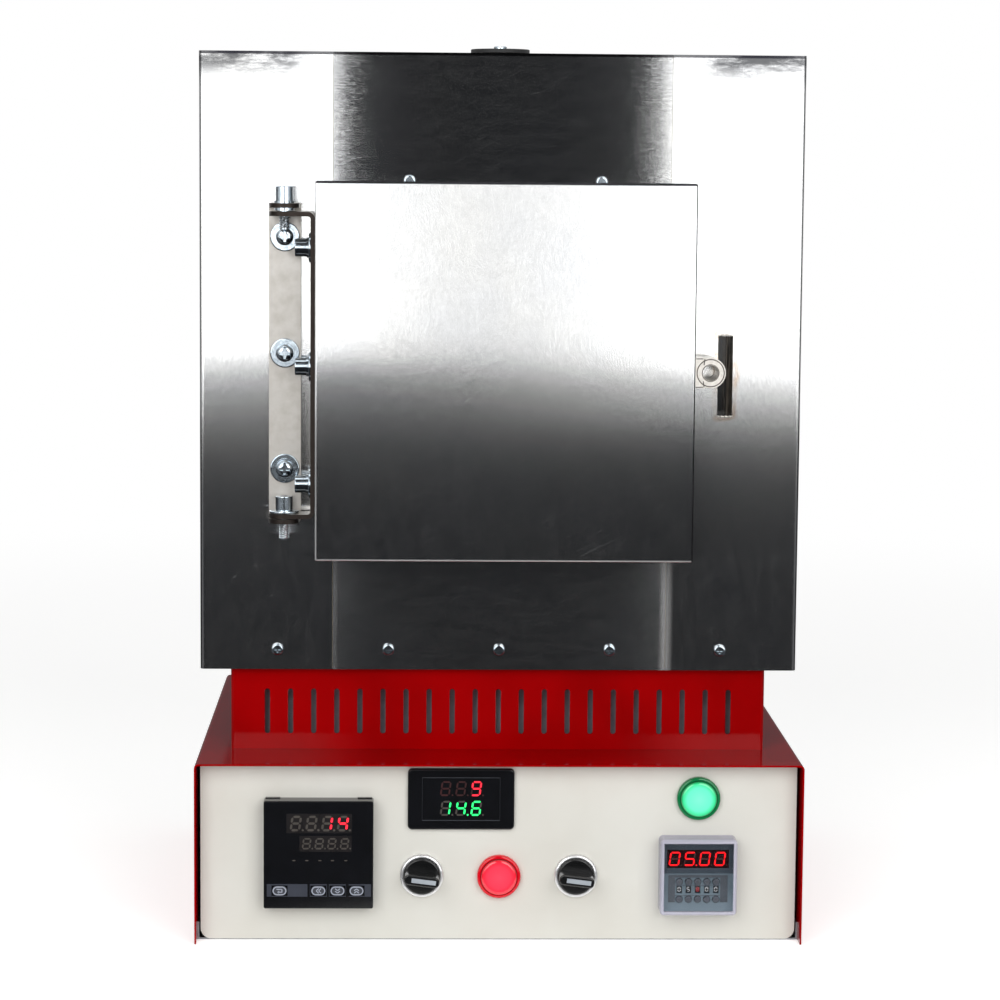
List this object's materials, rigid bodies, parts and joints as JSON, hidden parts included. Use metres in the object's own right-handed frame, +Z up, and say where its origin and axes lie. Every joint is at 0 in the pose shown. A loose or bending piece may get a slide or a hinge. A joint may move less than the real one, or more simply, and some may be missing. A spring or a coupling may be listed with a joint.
{
  "type": "burnout furnace",
  "caption": "Bench-top burnout furnace: brushed steel chamber box with a side-hung door on a vented red plinth, over a base cabinet with controller, meter, timer, selectors and lamps.",
  "frame": {"origin": "on the floor under the middle of the whole object", "axes": "+Z up, the door and the control panel face -Y, +X to the viewer's right"},
  "size_m": [0.401, 0.381, 0.5946],
  "materials": {
    "red_paint": "glossy red powder coat",
    "cream_paint": "fine satin cream powder coat",
    "zinc_sheet": "bare zinc-coated sheet",
    "steel_upright": "stainless sheet brushed upright",
    "steel_level": "stainless sheet brushed level",
    "hinge_steel": "matt stainless flat bar",
    "bolt_zinc": "bright zinc plate",
    "fire_brick": "porous insulating firebrick",
    "fibre_board": "soft ceramic fibre board",
    "refractory": "cast refractory",
    "element_wire": "oxidised resistance wire",
    "gasket_tape": "woven ceramic tape",
    "black_steel": "matt black heat paint",
    "black_plastic": "fine moulded black plastic",
    "dark_window": "dark tinted acrylic",
    "key_rubber": "slate grey key",
    "bezel_metal": "satin metal ring",
    "red_lens": "lit red lens",
    "green_lens": "lit green lens",
    "wheel_plastic": "black numbered wheel",
    "step_key_plastic": "blue-grey small key",
    "clear_cover": "clear moulded cover",
    "gland_nylon": "black nylon",
    "relay_plastic": "moulded electrical plastic"
  },
  "bodies": {
    "root": {"base_cover": "red_paint", "base_tray": "zinc_sheet", "control_panel": "cream_paint", "cord_gland": "gland_nylon", "base_electrics": "relay_plastic", "plinth_skirt": "red_paint", "plinth_baffle": "zinc_sheet", "left_shell": "steel_upright", "right_shell": "steel_upright", "front_sheet": "steel_level", "top_sheet": "steel_level", "bottom_sheet": "zinc_sheet", "rear_panel": "steel_level", "case_screws": "bolt_zinc", "mouth_bricks": "fire_brick", "insulation_boards": "fibre_board", "element_plates": "refractory", "heating_elements": "element_wire", "hearth_tile": "refractory", "thermocouple": "refractory", "vent_tube": "hinge_steel", "box_hinge_leaf": "hinge_steel", "hinge_bolts": "bolt_zinc", "controller_case": "black_plastic", "meter_case": "black_plastic", "display_windows": "dark_window", "panel_bezels": "bezel_metal", "heating_lens": "red_lens", "power_lens": "green_lens", "timer_case": "black_plastic"},
    "door": {"door_shell": "steel_upright", "door_liner": "steel_level", "door_plug": "fibre_board", "door_gasket": "gasket_tape", "door_hinge_leaf": "hinge_steel", "door_leaf_bolts": "bolt_zinc", "latch_barrel": "hinge_steel"},
    "vent_cap": {"vent_cap": "black_steel"},
    "heating_knob": {"heating_knob": "black_plastic"},
    "timing_knob": {"timing_knob": "black_plastic"},
    "timer_cover": {"timer_cover": "clear_cover"},
    "controller_key_set": {"controller_key_set": "key_rubber"},
    "controller_key_shift": {"controller_key_shift": "key_rubber"},
    "controller_key_down": {"controller_key_down": "key_rubber"},
    "controller_key_up": {"controller_key_up": "key_rubber"},
    "timer_wheel_1": {"timer_wheel_1": "wheel_plastic"},
    "timer_plus_1": {"timer_plus_1": "step_key_plastic"},
    "timer_minus_1": {"timer_minus_1": "step_key_plastic"},
    "timer_wheel_2": {"timer_wheel_2": "wheel_plastic"},
    "timer_plus_2": {"timer_plus_2": "step_key_plastic"},
    "timer_minus_2": {"timer_minus_2": "step_key_plastic"},
    "timer_wheel_3": {"timer_wheel_3": "wheel_plastic"},
    "timer_plus_3": {"timer_plus_3": "step_key_plastic"},
    "timer_minus_3": {"timer_minus_3": "step_key_plastic"},
    "timer_wheel_4": {"timer_wheel_4": "wheel_plastic"},
    "timer_plus_4": {"timer_plus_4": "step_key_plastic"},
    "timer_minus_4": {"timer_minus_4": "step_key_plastic"},
    "timer_wheel_5": {"timer_wheel_5": "wheel_plastic"},
    "timer_plus_5": {"timer_plus_5": "step_key_plastic"},
    "timer_minus_5": {"timer_minus_5": "step_key_plastic"}
  },
  "joints": [
    {"name": "door_hinge", "type": "hinge", "parent": "root", "child": "door", "pos_m": [-0.143, -0.1485, 0.3763], "axis": [0, 0, -1], "range_deg": [0, 165]},
    {"name": "vent_cap_turn", "type": "hinge", "parent": "root", "child": "vent_cap", "pos_m": [0.002, 0.0155, 0.5898], "axis": [0, 0, 1], "range_deg": [0, 60]},
    {"name": "heating_knob_turn", "type": "hinge", "parent": "root", "child": "heating_knob", "pos_m": [-0.051, -0.1715, 0.044], "axis": [0, -1, 0], "range_deg": [0, 90]},
    {"name": "timing_knob_turn", "type": "hinge", "parent": "root", "child": "timing_knob", "pos_m": [0.051, -0.1715, 0.044], "axis": [0, -1, 0], "range_deg": [0, 90]},
    {"name": "timer_cover_pull", "type": "slide", "parent": "root", "child": "timer_cover", "axis": [0, -1, 0], "range_m": [0, 0.05]},
    {"name": "controller_key_set_press", "type": "slide", "parent": "root", "child": "controller_key_set", "axis": [0, 1, 0], "range_m": [0, 0.0005], "stiffness_N_per_m": 600},
    {"name": "controller_key_shift_press", "type": "slide", "parent": "root", "child": "controller_key_shift", "axis": [0, 1, 0], "range_m": [0, 0.0005], "stiffness_N_per_m": 600},
    {"name": "controller_key_down_press", "type": "slide", "parent": "root", "child": "controller_key_down", "axis": [0, 1, 0], "range_m": [0, 0.0005], "stiffness_N_per_m": 600},
    {"name": "controller_key_up_press", "type": "slide", "parent": "root", "child": "controller_key_up", "axis": [0, 1, 0], "range_m": [0, 0.0005], "stiffness_N_per_m": 600},
    {"name": "timer_wheel_1_turn", "type": "hinge", "parent": "root", "child": "timer_wheel_1", "pos_m": [0.11924, -0.1754, 0.0363], "axis": [1, 0, 0], "continuous": true},
    {"name": "timer_plus_1_press", "type": "slide", "parent": "root", "child": "timer_plus_1", "axis": [0, 1, 0], "range_m": [0, 0.0006], "stiffness_N_per_m": 400},
    {"name": "timer_minus_1_press", "type": "slide", "parent": "root", "child": "timer_minus_1", "axis": [0, 1, 0], "range_m": [0, 0.0006], "stiffness_N_per_m": 400},
    {"name": "timer_wheel_2_turn", "type": "hinge", "parent": "root", "child": "timer_wheel_2", "pos_m": [0.12532, -0.1754, 0.0363], "axis": [1, 0, 0], "continuous": true},
    {"name": "timer_plus_2_press", "type": "slide", "parent": "root", "child": "timer_plus_2", "axis": [0, 1, 0], "range_m": [0, 0.0006], "stiffness_N_per_m": 400},
    {"name": "timer_minus_2_press", "type": "slide", "parent": "root", "child": "timer_minus_2", "axis": [0, 1, 0], "range_m": [0, 0.0006], "stiffness_N_per_m": 400},
    {"name": "timer_wheel_3_turn", "type": "hinge", "parent": "root", "child": "timer_wheel_3", "pos_m": [0.1314, -0.1754, 0.0363], "axis": [1, 0, 0], "continuous": true},
    {"name": "timer_plus_3_press", "type": "slide", "parent": "root", "child": "timer_plus_3", "axis": [0, 1, 0], "range_m": [0, 0.0006], "stiffness_N_per_m": 400},
    {"name": "timer_minus_3_press", "type": "slide", "parent": "root", "child": "timer_minus_3", "axis": [0, 1, 0], "range_m": [0, 0.0006], "stiffness_N_per_m": 400},
    {"name": "timer_wheel_4_turn", "type": "hinge", "parent": "root", "child": "timer_wheel_4", "pos_m": [0.13748, -0.1754, 0.0363], "axis": [1, 0, 0], "continuous": true},
    {"name": "timer_plus_4_press", "type": "slide", "parent": "root", "child": "timer_plus_4", "axis": [0, 1, 0], "range_m": [0, 0.0006], "stiffness_N_per_m": 400},
    {"name": "timer_minus_4_press", "type": "slide", "parent": "root", "child": "timer_minus_4", "axis": [0, 1, 0], "range_m": [0, 0.0006], "stiffness_N_per_m": 400},
    {"name": "timer_wheel_5_turn", "type": "hinge", "parent": "root", "child": "timer_wheel_5", "pos_m": [0.14356, -0.1754, 0.0363], "axis": [1, 0, 0], "continuous": true},
    {"name": "timer_plus_5_press", "type": "slide", "parent": "root", "child": "timer_plus_5", "axis": [0, 1, 0], "range_m": [0, 0.0006], "stiffness_N_per_m": 400},
    {"name": "timer_minus_5_press", "type": "slide", "parent": "root", "child": "timer_minus_5", "axis": [0, 1, 0], "range_m": [0, 0.0006], "stiffness_N_per_m": 400}
  ]
}
